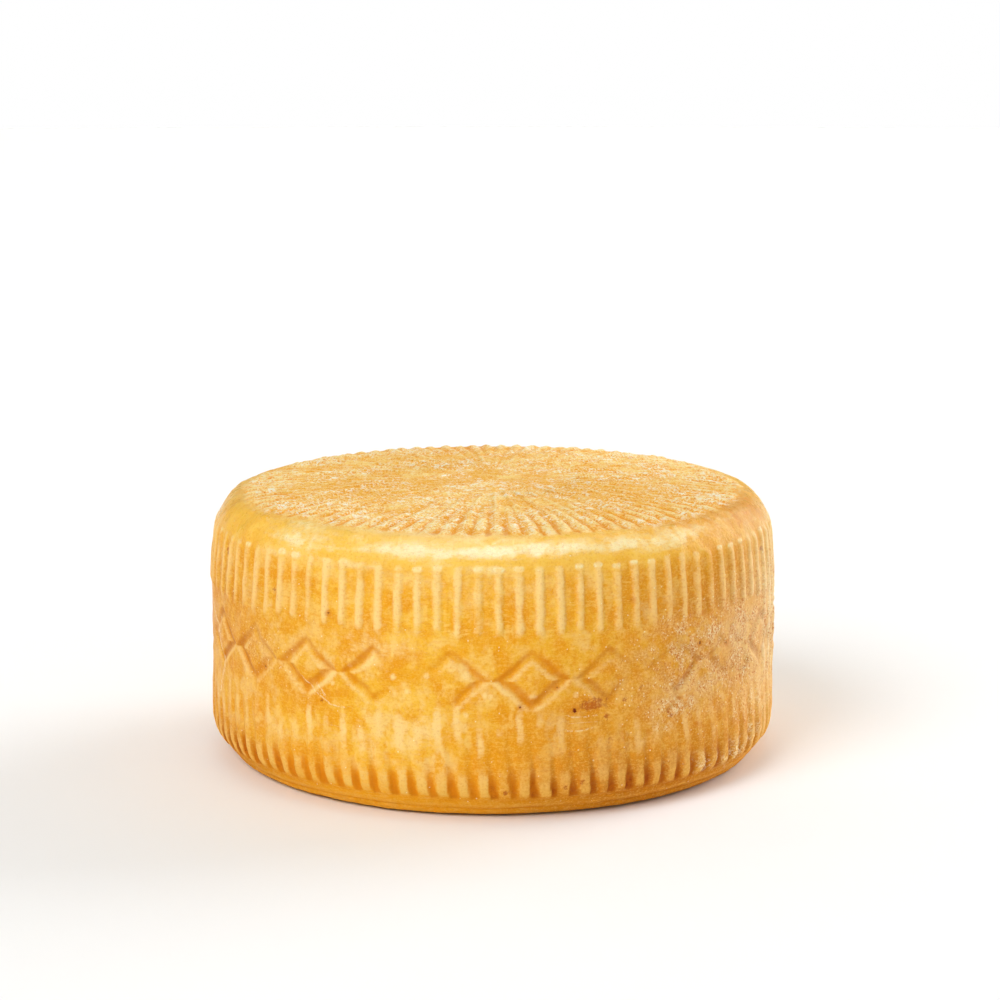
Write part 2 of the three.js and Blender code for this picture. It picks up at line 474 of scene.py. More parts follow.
@dataclass(frozen=True)
class Lip:
    """The bead at the bottom edge, and the creases over it."""

    height: float = 2.2
    rise: float = 0.5
    crease: float = 4.5
    crease_depth: float = 0.75
    upper_crease: float = 9.2
    rubbed_height: float = 6.6

    def shape(self, skin: Skin) -> tuple[Array, Array, Array]:
        """Works the lip out.

        Args:
            skin: the body's points.

        Returns:
            The relief, how far each point lies in a crease, whose darker colour is painted shade, and how far
            on the pale worn line over it.
        """
        side = 1 - skin.under
        drift = 0.45 * Grain(26, 31, 2).at(skin.spot)
        deep = 0.75 + 0.35 * Grain(14, 32).at(skin.spot)
        bead = bell(skin.height - self.height, 1.5)
        line = bell(skin.height - self.crease - drift, 0.48) * deep
        faint = bell(skin.height - self.upper_crease - drift, 0.6) * deep
        relief = self.rise * bead - self.crease_depth * line - 0.25 * faint
        wear_and_highlight = 0.6 * bell(skin.height - self.rubbed_height - drift, 0.8) * deep * side
        # the creases' darker colour is painted shade
        return relief * side, np.clip(line + 0.55 * faint, 0, 1) * side, wear_and_highlight


@dataclass(frozen=True)
class Lozenges:
    """The chain of sunk lozenges round the belly, worn unevenly."""

    count: int = 24
    middle: float = 66
    height: float = 30
    width: float = 34.5
    stroke: float = 5
    depth: float = 1.1

    def shape(self, skin: Skin, belly_radius: float) -> tuple[Array, Array, Array]:
        """Works the lozenges out.

        Args:
            skin: the body's points.
            belly_radius: the radius that their width is measured at.

        Returns:
            The relief, the painted shade in each stroke and along its upper edge, and the painted highlight
            along its lower edge.
        """
        pitch = FULL_TURN / self.count
        which = np.floor(skin.angle / pitch)
        x = (skin.angle - (which + 0.5) * pitch) * belly_radius
        y = skin.height - self.middle
        slant = 2 * math.hypot(1 / self.width, 1 / self.height)
        reach = 2 * (np.abs(x) / self.width + np.abs(y) / self.height)
        off = (reach - 1) / slant + self.stroke / 2 + 0.8 * Grain(8, 51, 2).at(skin.spot)
        worn = np.clip(0.7 + 0.55 * Grain(30, 52, 2).at(skin.spot) + 0.3 * uneven(which, 53), 0.2, 1.1)
        side = 1 - skin.under
        stroke = (1 - ease(0.12 * self.stroke, 0.62 * self.stroke, np.abs(off))) * side
        swell = 0.3 * (1 - ease(-self.stroke * 1.7, -self.stroke * 0.6, off)) * side
        upward = np.where(y > 0, off, -off)
        # painted shade: each stroke a little darker, and darkest along its upper edge, which faces down away
        # from the light
        shade_and_dirt = 0.32 * stroke + 0.6 * bell(upward - 0.3 * self.stroke, 1.8) * side
        # painted highlight: a pale line along each stroke's lower edge, which faces up into the light
        wear_and_highlight = bell(upward + 0.56 * self.stroke, 1.5) * side * ease(-1, 3, self.height / 2 - np.abs(y))
        return worn * (swell - self.depth * stroke), worn * shade_and_dirt, worn * wear_and_highlight


@dataclass(frozen=True)
class Ridges:
    """The ridges that radiate over the top, and the grainy crust that they lie in."""

    ribs: RibCount = RibCount()
    rise: float = 1.2
    outer: float = 126.4
    short_inner: float = 76
    long_inner: float = 36
    fade: float = 3.2
    strides: Pair = (6.13, 4.41)

    def shape(self, skin: Skin) -> tuple[Array, Array, Array]:
        """Works the ridges out.

        Args:
            skin: the body's points.

        Returns:
            The rise over the crust, and how far each point lies on a crest and in a furrow.
        """
        rib, at = self.ribs.steps(skin.angle)
        along = strip(rib, skin.radius, self.strides)
        bend = 0.12 * Grain(12, 61, 2).at(along)
        across = 1 - ease(0.02, 0.46, np.abs(at - bend))
        inner = np.where(rib % 2 == 0, self.long_inner, self.short_inner) + 3 * uneven(rib, 62)
        outer = self.outer - 2.5 + 2 * uneven(rib, 63)
        length = ease(inner, inner + self.fade, skin.radius)
        length *= 1 - ease(outer - self.fade, outer, skin.radius)
        worn = 0.62 + 0.38 * ease(90, 112, skin.radius)
        broken = worn * np.clip(0.85 + 0.6 * Grain(8, 64, 2).at(along), 0.1, 1.1)
        patchy = np.clip(0.7 + 0.8 * Grain(9, 65, 2).at(along), 0, 1)
        # the furrows also carry the top's painted shade
        furrow = ease(0.22, 0.46, np.abs(at - bend)) * length * patchy * worn
        crest = across * length * broken
        return self.rise * crest, crest, furrow


@dataclass(frozen=True)
class Patch:
    """A part of the side with a soft edge, placed by its middle."""

    azimuth: float  # degrees from the front, to the right
    height: float
    around: float  # how far it reaches each way, in degrees
    up: float  # how far it reaches up and down
    strength: float = 1

    def share(self, skin: Skin) -> Array:
        """How far each point lies in the patch."""
        turn = skin.turn_from(self.azimuth) / self.around
        return self.strength * bell(np.hypot(turn, (skin.height - self.height) / self.up), 1)


@dataclass(frozen=True)
class Spot:
    """A small round place on the side: a pit, a stain or a drop of wax."""

    azimuth: float
    height: float
    radius: float

    def away(self, skin: Skin, belly_radius: float) -> Array:
        """The way from each point to the spot's middle."""
        around = np.radians(skin.turn_from(self.azimuth)) * belly_radius
        return np.hypot(around, skin.height - self.height)


@dataclass(frozen=True)
class Scratch:
    """A fine curved scratch across the side, from one end to the other."""

    start: Pair  # azimuth in degrees and height
    end: Pair
    bow: float  # how far the middle hangs below the straight line
    breadth: float = 1  # how many times as wide as the finest


@dataclass(frozen=True)
class Blemishes:
    """What age and handling leave on the rind, with the places of the shoulder's painted highlight and of the
    pale rime, which is partly painted light.
    """

    belly_radius: float
    dust: tuple[Patch, ...] = (
        Patch(46, 72, 16, 16, 1.0),
        Patch(60, 66, 13, 24, 0.9),
        Patch(39, 49, 8, 10, 0.8),
        Patch(84, 62, 12, 40, 0.8),
        Patch(-50, 68, 7, 9, 0.3),
        Patch(118, 80, 24, 20, 0.8),
        Patch(172, 58, 20, 22, 0.9),
        Patch(-136, 74, 18, 18, 0.8),
    )
    brown: tuple[Patch, ...] = (
        Patch(50, 60, 34, 74, 0.8),
        Patch(30, 20, 28, 26, 0.9),
        Patch(20, 46, 12, 24, 0.6),
        Patch(-67, 80, 30, 44, 0.72),
        Patch(-70, 18, 24, 20, 0.75),
        Patch(-92, 50, 14, 50, 0.7),
        Patch(168, 60, 44, 60, 0.8),
        Patch(-112, 40, 24, 40, 0.45),
        # two darker bands along the top's rim, right and left of the front
        Patch(60, 132, 32, 4.5, 1.0),
        Patch(-66, 133.5, 26, 3.6, 1.0),
        Patch(205, 132, 30, 4.5, 0.6),
        Patch(-90, 121, 18, 9, 0.25),
        Patch(70, 124, 22, 9, 0.6),
    )
    # pale rime of the wax, also laid as painted light on the right edge, at the shoulder's left end and at
    # the top's front
    frost_and_highlight: tuple[Patch, ...] = (
        Patch(77, 72, 17, 42, 1.0),
        Patch(-86, 121, 12, 8, 0.6),
        Patch(57, 73, 7, 13, 0.7),
        Patch(38, 52, 6, 6, 0.35),
        Patch(-150, 70, 16, 30, 0.5),
        Patch(-12, 132, 18, 3.5, 1.0),
        Patch(150, 133.5, 30, 3, 0.6),
    )
    # the shoulder's painted highlight, strongest across the front under the overhead lamp's gloss, with some
    # round the back
    froth_highlight: tuple[Patch, ...] = (
        Patch(-43, 122.5, 5, 2.6, 0.75),
        Patch(-34, 121, 4, 1.6, 0.5),
        Patch(-18.5, 123, 6.5, 3.2, 1.0),
        Patch(-4, 122.8, 9, 2.4, 1.0),
        Patch(10, 123.8, 9, 2.6, 0.85),
        Patch(26, 123.8, 9, 2.6, 0.7),
        Patch(35, 122.5, 9, 3.4, 0.42),
        Patch(44, 124.5, 9, 3.4, 0.4),
        Patch(54, 126.5, 10, 3.4, 0.3),
        Patch(-66, 121, 8, 2.6, 0.2),
        Patch(120, 122, 26, 2.6, 0.6),
        Patch(168, 121, 14, 2.4, 0.9),
        Patch(-112, 122, 22, 2.4, 0.7),
    )
    wear_and_highlight: tuple[Patch, ...] = (
        Patch(-23, 80, 10, 8, 0.45),
        Patch(-14, 44, 5, 7, 0.6),
        Patch(-20, 35, 12, 6, 0.35),
        Patch(-47, 33, 9, 8, 0.35),
        Patch(-2, 108, 22, 7, 0.25),
        Patch(57, 73, 7, 13, 0.5),
        Patch(45, 53, 5, 8, 0.6),
        Patch(30, 34, 4, 5, 0.4),
        Patch(72, 96, 12, 16, 0.3),
        Patch(128, 40, 16, 10, 0.4),
        Patch(-140, 52, 14, 12, 0.4),
    )
    crumbs: tuple[Patch, ...] = (
        Patch(46.6, 17, 3.4, 4.5, 1.0),
        Patch(56, 15, 3.6, 6, 1.0),
        Patch(64, 28, 6, 12, 0.8),
        Patch(34.0, 39, 2.6, 2.5, 0.7),
        Patch(38, 47, 4, 5, 0.9),
        Patch(50, 79, 8, 4, 0.4),
        Patch(-45.5, 78, 1.6, 4, 0.8),
        Patch(205, 24, 8, 7, 0.8),
    )
    pits: tuple[Spot, ...] = (
        Spot(15.6, 51.1, 1.0),
        Spot(12.2, 62.0, 0.4),
        Spot(27.4, 99.4, 0.6),
        Spot(43.8, 74.1, 0.75),
        Spot(52.0, 70.5, 0.6),
        Spot(5.3, 53.7, 0.5),
        Spot(-32.2, 92.2, 0.45),
        Spot(14.9, 31.0, 0.4),
        Spot(43.0, 36.0, 0.5),
    )
    stains: tuple[Spot, ...] = (
        Spot(25.7, 53.9, 1.5),
        Spot(22.0, 46.9, 1.6),
        Spot(29.3, 58.8, 1.2),
        Spot(22.6, 36.5, 1.1),
        Spot(35.6, 45.5, 1.7),
        Spot(36.2, 43.0, 1.5),
        Spot(14.0, 16.0, 1.6),
        Spot(17.0, 18.0, 1.6),
        Spot(2.6, 14.5, 1.5),
        Spot(-34.0, 51.0, 1.3),
        Spot(131.0, 48.0, 1.8),
        Spot(-120.0, 62.0, 1.6),
    )
    smears: tuple[Patch, ...] = (
        Patch(18.6, 53.2, 2.8, 2.8, 1.0),
        Patch(20.2, 54.0, 2.0, 2.6, 0.7),
        Patch(34.6, 66.8, 2.0, 1.6, 0.4),
        Patch(-135.0, 40.0, 3.0, 2.4, 0.6),
    )
    drops: tuple[Spot, ...] = (
        Spot(-12.1, 67.8, 1.5),
        Spot(-15.8, 59.9, 1.5),
        Spot(-4.5, 68.2, 1.9),
        Spot(-1.2, 59.4, 1.5),
        Spot(-0.2, 58.7, 1.5),
        Spot(7.4, 58.7, 1.5),
        Spot(8.2, 58.5, 1.3),
        Spot(15.8, 58.5, 1.6),
        Spot(-4.7, 50.5, 1.5),
        Spot(-31.3, 60.0, 1.3),
        Spot(-27.5, 69.1, 1.2),
        Spot(-18.5, 66.0, 1.6),
    )
    dents: tuple[Spot, ...] = (
        Spot(38.4, 51.5, 3.0),
        Spot(36.4, 47.2, 2.0),
        Spot(60.0, 58.0, 1.6),
        Spot(140.0, 61.0, 2.4),
        Spot(-128.0, 84.0, 1.8),
    )
    dent_depth: float = 1.1
    random_pits: int = 16
    random_stains: int = 22
    random_drops: int = 30
    random_azimuths: Pair = (62, 318)  # round the back, from the right to the left
    random_heights: Pair = (14, 112)
    scratches: tuple[Scratch, ...] = (
        Scratch((14.2, 48.6), (20.4, 48.4), 0.7),
        Scratch((13.8, 42.2), (19.8, 43.0), 1.0),
        Scratch((-38.6, 61.0), (-31.6, 49.8), 0.8),
        Scratch((-35.0, 58.2), (-32.6, 52.0), -0.5),
        Scratch((-33.0, 50.4), (-28.4, 49.6), 0.5),
        Scratch((-79.0, 79.0), (-69.4, 66.0), -2.0, 3.0),
        Scratch((-69.0, 67.0), (-66.4, 51.0), 1.4, 3.6),
        Scratch((-66.4, 51.6), (-70.0, 36.0), 1.2, 3.2),
        Scratch((150.0, 70.0), (157.0, 60.0), 1.4),
        Scratch((-101.0, 52.0), (-94.0, 56.0), 1.0),
    )
    seed: int = 7

    def scattered(self, placed: tuple[Spot, ...], count: int, least: float, most: float) -> list[Spot]:
        """Some spots that are listed, then more of them scattered over the rest of the side.

        Args:
            placed: the listed spots.
            count: how many more there are.
            least: the smallest radius of those.
            most: the largest.

        Returns:
            All the spots.
        """
        draw = np.random.default_rng(self.seed + count)
        spots = list(placed)
        for _ in range(count):
            azimuth = draw.uniform(*self.random_azimuths)
            height = draw.uniform(*self.random_heights)
            spots.append(Spot(azimuth, height, draw.uniform(least, most)))
        return spots

    def pit_distance(self, skin: Skin) -> Array:
        """Measures how far off the pits are.

        Args:
            skin: the body's points.

        Returns:
            The way from each point to the nearest pit's edge, less than nothing inside.
        """
        nearest = np.full(len(skin.angle), FAR)
        for pit in self.scattered(self.pits, self.random_pits, 0.3, 0.7):
            nearest = np.minimum(nearest, pit.away(skin, self.belly_radius) - pit.radius)
        return np.where(skin.under > 0, FAR, nearest)

    def covered(self, spots: list[Spot], skin: Skin) -> Array:
        """Covers the side with soft-edged spots.

        Args:
            spots: the spots.
            skin: the body's points.

        Returns:
            How far each point lies in any of them.
        """
        most = np.zeros(len(skin.angle))
        for spot in spots:
            away = spot.away(skin, self.belly_radius)
            most = np.maximum(most, 1 - ease(0.2 * spot.radius, 1.4 * spot.radius, away))
        return most * (1 - skin.under)

    def stained(self, skin: Skin) -> Array:
        """How far each point lies in a brown stain."""
        return self.covered(self.scattered(self.stains, self.random_stains, 0.8, 1.9), skin)

    def dropped(self, skin: Skin) -> Array:
        """How far each point lies in a drop of wax."""
        return self.covered(self.scattered(self.drops, self.random_drops, 1.0, 1.7), skin)

    def dented(self, skin: Skin) -> tuple[Array, Array]:
        """Works out the dents, which have crumbly rims.

        Args:
            skin: the body's points.

        Returns:
            The relief, and how far each point lies on a rim.
        """
        relief = np.zeros(len(skin.angle))
        rim = np.zeros(len(skin.angle))
        ragged = 1 + 0.35 * Grain(2.6, 97, 2).at(skin.spot)
        for dent in self.dents:
            away = dent.away(skin, self.belly_radius) * ragged
            ring = bell(away - 1.7 * dent.radius, 0.65 * dent.radius)
            relief += 0.4 * ring - self.dent_depth * bell(away, dent.radius)
            rim = np.maximum(rim, ring)
        return relief, rim

    def scratch_distance(self, skin: Skin) -> Array:
        """Measures how far off the scratches are.

        Args:
            skin: the body's points.

        Returns:
            The way from each point to the nearest one, with the side that it lies on as the sign.
        """
        nearest = np.full(len(skin.angle), FAR)
        for scratch in self.scratches:
            middle = 0.5 * (scratch.start[0] + scratch.end[0])
            x = np.radians(skin.turn_from(middle)) * self.belly_radius
            y = skin.height - 0.5 * (scratch.start[1] + scratch.end[1])
            run = math.radians(scratch.end[0] - scratch.start[0]) * self.belly_radius
            climb = scratch.end[1] - scratch.start[1]
            length = math.hypot(run, climb)
            share = 2 * (x * run + y * climb) / length**2
            away = (y * run - x * climb) / length + scratch.bow * (1 - share**2)
            past = length * np.maximum(0, np.abs(share) - 0.9)
            signed = np.sign(away) * (np.abs(away) + past) / scratch.breadth
            nearest = np.where(np.abs(signed) < np.abs(nearest), signed, nearest)
        return nearest

    def cover(self, patches: tuple[Patch, ...], skin: Skin) -> Array:
        """Covers the skin with patches.

        Args:
            patches: the patches.
            skin: the body's points.

        Returns:
            How far each point lies in any of them.
        """
        clear = np.ones(len(skin.angle))
        for patch in patches:
            clear *= 1 - np.clip(patch.share(skin), 0, 1)
        return 1 - clear


# --- the skin's mesh ---


@dataclass(frozen=True)
class Rows:
    """How finely the skin is divided, along its section and round it."""

    round_finest: int = 940
    side_steps: tuple[Pair, ...] = (
        (0, 0.6),
        (12, 0.75),
        (17, 1.3),
        (48, 1.3),
        (53, 0.95),
        (82, 0.95),
        (84, 0.75),
        (89, 0.8),
        (92, 1.9),
        (110, 1.9),
        (113, 0.75),
        (119, 0.8),
        (123, 1.1),
        (128.8, 1.0),
    )
    top_steps: tuple[Pair, ...] = ((0, 2.2), (50, 1.6), (100, 1.15), (127, 1.0))
    under_steps: tuple[Pair, ...] = ((0, 3.5), (90, 3), (118, 1.4), (127, 0.7))
    top_columns: tuple[tuple[float, int], ...] = ((96, 1), (48, 2), (14, 4))
    under_columns: tuple[tuple[float, int], ...] = ((121, 1), (90, 2), (26, 4))
    middle_share: int = 20  # how much coarser than the finest the middle is
    rim_margin: float = 0.35  # how far under the rim's height the top's rows begin
    foot_blend: float = 1.5  # how far each way the underside runs over into the side

    def step_at(self, radius: Array, height: Array, under: Array, over: Array) -> Array:
        """How long a step along the section may be.

        Args:
            radius: the radius at each place on the section.
            height: the height there.
            under: whether it is on the underside.
            over: whether it is on the top.

        Returns:
            One length for each place.
        """
        side = np.interp(height, *zip(*self.side_steps))
        top = np.interp(radius, *zip(*self.top_steps))
        beneath = np.interp(radius, *zip(*self.under_steps))
        return np.where(under, beneath, np.where(over, top, side))

    def columns_at(self, radius: float, under: bool, over: bool) -> int:
        """How finely a row is divided.

        Args:
            radius: the row's radius.
            under: whether it is on the underside.
            over: whether it is on the top.

        Returns:
            The number of its points.
        """
        if not under and not over:
            return self.round_finest
        for least, share in self.under_columns if under else self.top_columns:
            if radius > least:
                return self.round_finest // share
        return self.round_finest // self.middle_share


class SkinGrid:
    """The rows of points over the whole wheel, and the faces between them."""

    def __init__(self, form: WheelForm, rows: Rows) -> None:
        """Lays the rows out.

        Args:
            form: the turned body.
            rows: how finely it is divided.
        """
        self.form = form
        travel, radius, height = form.section()
        foot = form.belly_radius - form.foot_tuck
        corner = np.argmax(travel > foot)
        rim_at = np.argmax(height > form.rim_height - rows.rim_margin)
        under = np.arange(len(travel)) < corner
        over = np.arange(len(travel)) > rim_at
        self.rim_travel = travel[rim_at]
        self.foot_travel = travel[corner]
        steps = rows.step_at(radius, height, under, over)
        share = np.concatenate([[0], np.cumsum(np.diff(travel) / steps[1:])])
        stops = np.interp(np.linspace(0, share[-1], int(round(share[-1])) + 1), share, travel)
        slope_radius = np.gradient(radius, travel)
        slope_height = np.gradient(height, travel)
        self.counts: list[int] = []
        parts: list[tuple[Array, ...]] = []
        for k, stop in enumerate(stops):
            r, z = np.interp(stop, travel, radius), np.interp(stop, travel, height)
            tangent = np.array([np.interp(stop, travel, slope_radius), np.interp(stop, travel, slope_height)])
            tangent /= np.hypot(*tangent)
            pole = k in (0, len(stops) - 1)
            count = 1 if pole else rows.columns_at(r, stop < self.foot_travel, stop > self.rim_travel)
            self.counts.append(count)
            low, high = self.foot_travel - rows.foot_blend, self.foot_travel + rows.foot_blend
            lies_under = 1 - float(ease(low, high, np.array(stop)))
            alike = (0 if pole else r, z, stop, tangent[1], -tangent[0], lies_under)
            parts.append((np.arange(count) * FULL_TURN / count, *(np.full(count, v, float) for v in alike)))
        angle, r, z, stop, out, up, lies_under = (np.concatenate(column) for column in zip(*parts))
        self.skin = Skin(angle, r, z, stop, np.stack([out, up], 1), stop - self.rim_travel, lies_under)

    def faces(self) -> tuple[Array, Array, Array]:
        """The faces between the rows.

        Returns:
            Each face's number of corners, then the point and the unbroken angle of each corner in turn.
        """
        starts = np.concatenate([[0], np.cumsum(self.counts)])
        totals: list[Array] = []
        points: list[Array] = []
        angles: list[Array] = []
        for k in range(len(self.counts) - 1):
            corners = self._between(self.counts[k], self.counts[k + 1])
            row, column = corners[..., 0], corners[..., 1]
            count = np.where(row == 0, self.counts[k], self.counts[k + 1])
            points.append((np.where(row == 0, starts[k], starts[k + 1]) + column % count).ravel())
            angle = column * FULL_TURN / count
            nearby = np.where(count == 1, np.nan, angle)
            middle = np.nanmean(nearby, axis=1, keepdims=True)
            angles.append(np.where(count == 1, middle, angle).ravel())
            totals.append(np.full(len(corners), corners.shape[1]))
        return np.concatenate(totals), np.concatenate(points), np.concatenate(angles)

    @staticmethod
    def _between(low: int, high: int) -> Array:
        """The faces between two rows, as row (0 or 1) and column of each corner.

        Args:
            low: how many points the first row has.
            high: how many the second has.

        Returns:
            One entry for each face, with its corners turning outward.
        """
        few, many = min(low, high), max(low, high)
        k = np.arange(few)
        if low == high:
            return SkinGrid._corners([(0, k), (0, k + 1), (1, k + 1), (1, k)], few)
        times = many // few
        coarse, fine = (1, 0) if low > high else (0, 1)
        turned = (lambda corners: corners) if low > high else (lambda corners: corners[::-1])
        faces = []
        for j in range(times):
            near = k if j < (times + 1) // 2 or few == 1 else k + 1
            faces.append(turned([(fine, k * times + j), (fine, k * times + j + 1), (coarse, near)]))
        if few > 1:
            half = (times + 1) // 2
            faces.append(turned([(fine, k * times + half), (coarse, k + 1), (coarse, k)]))
        return np.concatenate([SkinGrid._corners(face, few) for face in faces])

    @staticmethod
    def _corners(face: list[tuple[int, Array]], count: int) -> Array:
        """The row and column of each corner of some faces that are alike, one entry to a face."""
        return np.stack([np.stack([np.full(count, row), column], 1) for row, column in face], 1)


@dataclass(frozen=True)
class FlatPattern:
    """How the skin is laid flat for its colour map: two strips of side and two discs on a square sheet."""

    sheet: float = 606
    margin: float = 6

    def lay(self, grid: SkinGrid, points: Array, angles: Array, totals: Array) -> Array:
        """The place on the sheet of each corner of each face.

        Args:
            grid: the rows.
            points: each corner's point.
            angles: each corner's unbroken angle.
            totals: each face's number of corners.

        Returns:
            One pair from 0 to 1 for each corner.
        """
        skin = grid.skin
        face = np.repeat(np.arange(len(totals)), totals)
        first = np.concatenate([[0], np.cumsum(totals)[:-1]])
        travel = np.add.reduceat(skin.travel[points], first) / totals
        turn = np.add.reduceat(angles, first) / totals
        disc = grid.form.belly_radius
        along, radius = skin.travel[points], skin.radius[points]
        second = (turn > math.pi)[face]
        strip_u = (angles - np.where(second, math.pi, 0)) * disc + self.margin
        strip_high = grid.rim_travel - grid.foot_travel
        strip_v = along - grid.foot_travel + self.margin + np.where(second, strip_high + self.margin, 0)
        disc_v = 2 * (strip_high + self.margin) + self.margin + disc
        under, over = (travel < grid.foot_travel)[face], (travel > grid.rim_travel)[face]
        disc_u = np.where(under, disc, 3 * disc + self.margin) + self.margin
        flip = np.where(under, -1, 1)
        u = np.where(under | over, disc_u + flip * radius * np.cos(angles), strip_u)
        v = np.where(under | over, disc_v + radius * np.sin(angles), strip_v)
        return np.stack([u, v], 1) / self.sheet


# --- finishes ---


class Graph:
    """A tree of shader nodes in the making: adds nodes and joins them up."""

    def __init__(self, tree: bpy.types.NodeTree) -> None:
        """Takes up a tree of nodes."""
        self.tree = tree

    def feed(self, socket: Socket, value: Value | tuple[float, ...]) -> None:
        """Joins a socket to another, or gives it a plain value.

        Args:
            socket: the socket that is fed.
            value: the socket that feeds it, or the plain value.
        """
        if isinstance(value, bpy.types.NodeSocket):
            self.tree.links.new(value, socket)
        else:
            socket.default_value = value

    def node(self, kind: str, inputs: Inputs | None = None, **settings: object) -> bpy.types.Node:
        """Adds a node.

        Args:
            kind: which kind of node.
            inputs: what its sockets are fed, by name or number.
            settings: its other settings, which come first.

        Returns:
            The node.
        """
        made = self.tree.nodes.new(kind)
        for name, value in settings.items():
            setattr(made, name, value)
        for key, value in (inputs or {}).items():
            self.feed(made.inputs[key], value)
        return made

    def blend(self, share: Value, first: Socket | Colour, second: Socket | Colour) -> Socket:
        """Blends two colours."""
        made = self.node("ShaderNodeMix", {0: share, 6: first, 7: second}, data_type="RGBA")
        return made.outputs[2]


class Recipe(Graph):
    """A material in the making, with the sums and noises that it is put together from."""

    def __init__(self, name: str) -> None:
        """Starts an empty material.

        Args:
            name: the material's name.
        """
        self.material = bpy.data.materials.new(name)
        self.material.use_nodes = True
        super().__init__(self.material.node_tree)
        self.shader = next(n for n in self.tree.nodes if n.type == "BSDF_PRINCIPLED")
        self.place = self.node("ShaderNodeTexCoord").outputs["Object"]

    def dress(self, inputs: Inputs) -> bpy.types.Material:
        """Finishes the material.

        Args:
            inputs: what the shader's sockets are fed, by name.

        Returns:
            The finished material.
        """
        for name, value in inputs.items():
            self.feed(self.shader.inputs[name], value)
        return self.material

    def mark(self, mark: Mark) -> Socket:
        """A value that the mesh keeps."""
        return self.node("ShaderNodeAttribute", attribute_name=mark.value).outputs["Fac"]

    def sum(self, operation: str, first: Socket, second: Value = 0, third: Value = 0) -> Socket:
        """A sum of up to three values."""
        return self.node("ShaderNodeMath", {0: first, 1: second, 2: third}, operation=operation).outputs[0]

    def times(self, first: Socket, second: Value) -> Socket:
        """One value times another."""
        return self.sum("MULTIPLY", first, second)

    def scaled(self, value: Socket, factor: float, more: Value) -> Socket:
        """A value times a factor, and more added to it."""
        return self.sum("MULTIPLY_ADD", value, factor, more)

    def span(self, value: Socket, low: float, high: float, first: float = 0, last: float = 1) -> Socket:
        """Stretches a value from low to high into first to last, eased at both ends."""
        inputs = {"Value": value, "From Min": low, "From Max": high, "To Min": first, "To Max": last}
        return self.node("ShaderNodeMapRange", inputs, interpolation_type="SMOOTHSTEP").outputs[0]

    def noise(self, size: float, detail: float = 2, rough: float = 0.5, stretch: Triple = EVEN) -> Socket:
        """Cloudy noise, from about 0.25 to 0.75.

        Args:
            size: how large its lumps are, in millimetres.
            detail: how many finer layers lie in it.
            rough: how strong those are.
            stretch: how far each way is scaled.

        Returns:
            The noise.
        """
        place = self.node("ShaderNodeMapping", {"Vector": self.place, "Scale": stretch}).outputs[0]
        inputs = {"Vector": place, "Scale": 1 / (size * MM), "Detail": detail, "Roughness": rough}
        return self.node("ShaderNodeTexNoise", inputs).outputs[0]

    def spots(self, spacing: float, radius: float, share: Value, softness: float) -> Socket:
        """Scattered spots, a little out of round.

        Args:
            spacing: the way from one possible spot to the next, in millimetres.
            radius: the largest spot's radius.
            share: how many of the possible spots are there, from 0 to 1.
            softness: how much of the radius the edge takes, from 0 to 1.

        Returns:
            1 in a spot and 0 outside.
        """
        warp = self.node("ShaderNodeTexNoise", {"Vector": self.place, "Scale": 0.6 / (radius * MM)})
        inputs = {0: warp.outputs["Color"], 1: (1.6 * radius * MM,) * 3, 2: self.place}
        shifted = self.node("ShaderNodeVectorMath", inputs, operation="MULTIPLY_ADD").outputs[0]
        made = self.node("ShaderNodeTexVoronoi", {"Vector": shifted, "Scale": 1 / (spacing * MM)})
        edge = radius / spacing
        inside = self.span(made.outputs["Distance"], edge * (1 + softness / 2), edge * (1 - softness / 2))
        colour = self.node("ShaderNodeSeparateColor", {0: made.outputs["Color"]})
        return self.times(inside, self.sum("LESS_THAN", colour.outputs[0], share))

    def bump(self, height: Socket, reach: float, below: Socket | None = None) -> Socket:
        """A bumped normal.

        Args:
            height: the bumps, from 0 to 1.
            reach: how high 1 stands, in millimetres.
            below: another bumped normal that this one lies on.

        Returns:
            The normal.
        """
        inputs: Inputs = {"Distance": reach * MM, "Height": height}
        if below is not None:
            inputs["Normal"] = below
        return self.node("ShaderNodeBump", inputs).outputs[0]


@dataclass
class Coat:
    """A colour in the making, laid on one layer over another."""

    recipe: Recipe
    colour: Socket

    def lay(self, share: Socket, colour: Socket | Colour) -> None:
        """Lays a colour over a share of the coat."""
        self.colour = self.recipe.blend(share, self.colour, colour)


